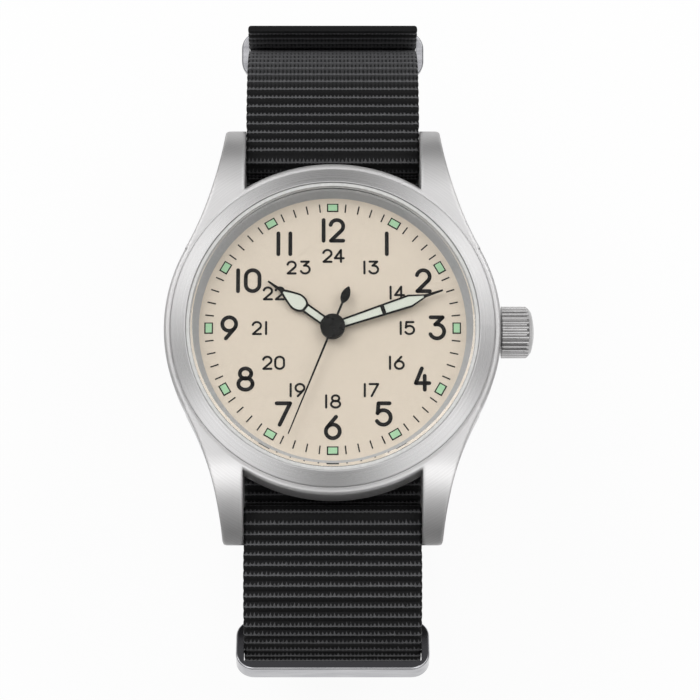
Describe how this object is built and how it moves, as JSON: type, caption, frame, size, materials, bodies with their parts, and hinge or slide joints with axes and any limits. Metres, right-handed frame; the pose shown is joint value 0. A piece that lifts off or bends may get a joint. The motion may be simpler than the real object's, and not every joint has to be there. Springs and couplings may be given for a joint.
{
  "type": "wristwatch",
  "caption": "Field watch: steel case with lugs, sloped bezel, cream dial, black hands, pull-out crown, and a closed black one-piece webbing strap with steel rings and a buckle.",
  "frame": {"origin": "centre of the opening that the wrist goes through, on the axis of the hands", "axes": "+Z out of the dial, +Y towards twelve o'clock, +X towards the crown"},
  "size_m": [0.0419, 0.0784, 0.0486],
  "materials": {
    "case_steel": "bead-blasted satin",
    "bezel_steel": "circular brushed",
    "ring_steel": "polished",
    "crystal_glass": "clear, polished",
    "dial_cream": "matte lacquer",
    "flange_grey": "satin",
    "hand_black": "semi-gloss lacquer",
    "hand_lume": "luminous filling",
    "plot_lume": "luminous filling",
    "black_webbing": "ribbed nylon weave",
    "seal_rubber": "moulded",
    "wheel_brass": "stamped",
    "plate_nickel": "nickel-plated",
    "inner_steel": "turned",
    "holder_plastic": "moulded",
    "board_green": "laminate",
    "coil_copper": "enamelled wire"
  },
  "bodies": {
    "case": {"mid_case": "case_steel", "case_back": "case_steel", "case_back_gasket": "seal_rubber", "bezel": "bezel_steel", "rehaut_ring": "flange_grey", "crystal_gasket": "seal_rubber", "crystal": "crystal_glass", "dial": "dial_cream", "hour_plots": "plot_lume", "movement_ring": "holder_plastic", "main_plate": "plate_nickel", "train_bridge": "plate_nickel", "coin_cell": "inner_steel", "cell_clamp": "plate_nickel", "bridge_screws": "inner_steel", "circuit_board": "board_green", "quartz_can": "inner_steel", "coil": "coil_copper", "stator": "plate_nickel", "crown_tube": "inner_steel", "setting_lever": "inner_steel", "spring_bar_12": "inner_steel", "spring_bar_6": "inner_steel", "strap": "black_webbing", "strap_underlayer": "black_webbing", "head_ring": "ring_steel", "fixed_keeper": "ring_steel", "buckle_frame": "ring_steel", "buckle_bar": "ring_steel"},
    "hours": {"hour_wheel": "wheel_brass", "hour_hand": "hand_black", "hour_hand_lume": "hand_lume"},
    "minutes": {"cannon_pinion": "wheel_brass", "minute_hand": "hand_black", "minute_hand_lume": "hand_lume"},
    "motion_wheel": {"minute_wheel": "wheel_brass"},
    "seconds": {"seconds_wheel": "wheel_brass", "seconds_hand": "hand_black"},
    "third": {"third_wheel": "wheel_brass"},
    "centre": {"centre_wheel": "wheel_brass"},
    "intermediate": {"intermediate_wheel": "wheel_brass"},
    "step_rotor": {"rotor": "inner_steel"},
    "clutch": {"clutch_pinion": "inner_steel"},
    "crown_and_stem": {"crown": "case_steel", "winding_stem": "inner_steel", "crown_gasket": "seal_rubber"},
    "tongue": {"buckle_tongue": "ring_steel"},
    "keeper": {"loose_keeper": "ring_steel"}
  },
  "joints": [
    {"name": "minute_turn", "type": "hinge", "parent": "case", "child": "minutes", "pos_m": [0, 0, 0.0255], "axis": [0, 0, 1], "continuous": true},
    {"name": "hour_turn", "type": "hinge", "parent": "case", "child": "hours", "pos_m": [0, 0, 0.0255], "axis": [0, 0, 1], "continuous": true},
    {"name": "motion_wheel_turn", "type": "hinge", "parent": "case", "child": "motion_wheel", "pos_m": [0.003, 0, 0.025], "axis": [0, 0, 1], "continuous": true},
    {"name": "seconds_turn", "type": "hinge", "parent": "case", "child": "seconds", "pos_m": [0, 0, 0.0255], "axis": [0, 0, 1], "continuous": true},
    {"name": "third_turn", "type": "hinge", "parent": "case", "child": "third", "pos_m": [-0.00297, -0.00297, 0.0225], "axis": [0, 0, 1], "continuous": true},
    {"name": "centre_turn", "type": "hinge", "parent": "case", "child": "centre", "pos_m": [0, 0, 0.0225], "axis": [0, 0, 1], "continuous": true},
    {"name": "intermediate_turn", "type": "hinge", "parent": "case", "child": "intermediate", "pos_m": [0, 0.00374, 0.0225], "axis": [0, 0, 1], "continuous": true},
    {"name": "rotor_turn", "type": "hinge", "parent": "case", "child": "step_rotor", "pos_m": [0.0015, 0.00634, 0.0225], "axis": [0, 0, 1], "continuous": true},
    {"name": "crown_turn", "type": "hinge", "parent": "case", "child": "clutch", "pos_m": [0, 0, 0.024], "axis": [1, 0, 0], "continuous": true},
    {"name": "crown_pull", "type": "slide", "parent": "clutch", "child": "crown_and_stem", "axis": [1, 0, 0], "range_m": [0, 0.001]},
    {"name": "tongue_swing", "type": "hinge", "parent": "case", "child": "tongue", "pos_m": [0, 0.0025, -0.01545], "axis": [1, 0, 0], "range_deg": [0, 20]},
    {"name": "keeper_slide", "type": "hinge", "parent": "case", "child": "keeper", "pos_m": [0, 0.01365, 0.0069], "axis": [1, 0, 0], "range_deg": [-15, 0]}
  ],
  "couplings": [
    {"joint": "hour_turn", "follows": "minute_turn", "ratio": 0.083333},
    {"joint": "motion_wheel_turn", "follows": "minute_turn", "ratio": -0.33333},
    {"joint": "third_turn", "follows": "seconds_turn", "ratio": -0.13333},
    {"joint": "centre_turn", "follows": "seconds_turn", "ratio": 0.016667},
    {"joint": "intermediate_turn", "follows": "seconds_turn", "ratio": -7.5},
    {"joint": "rotor_turn", "follows": "seconds_turn", "ratio": 30}
  ]
}
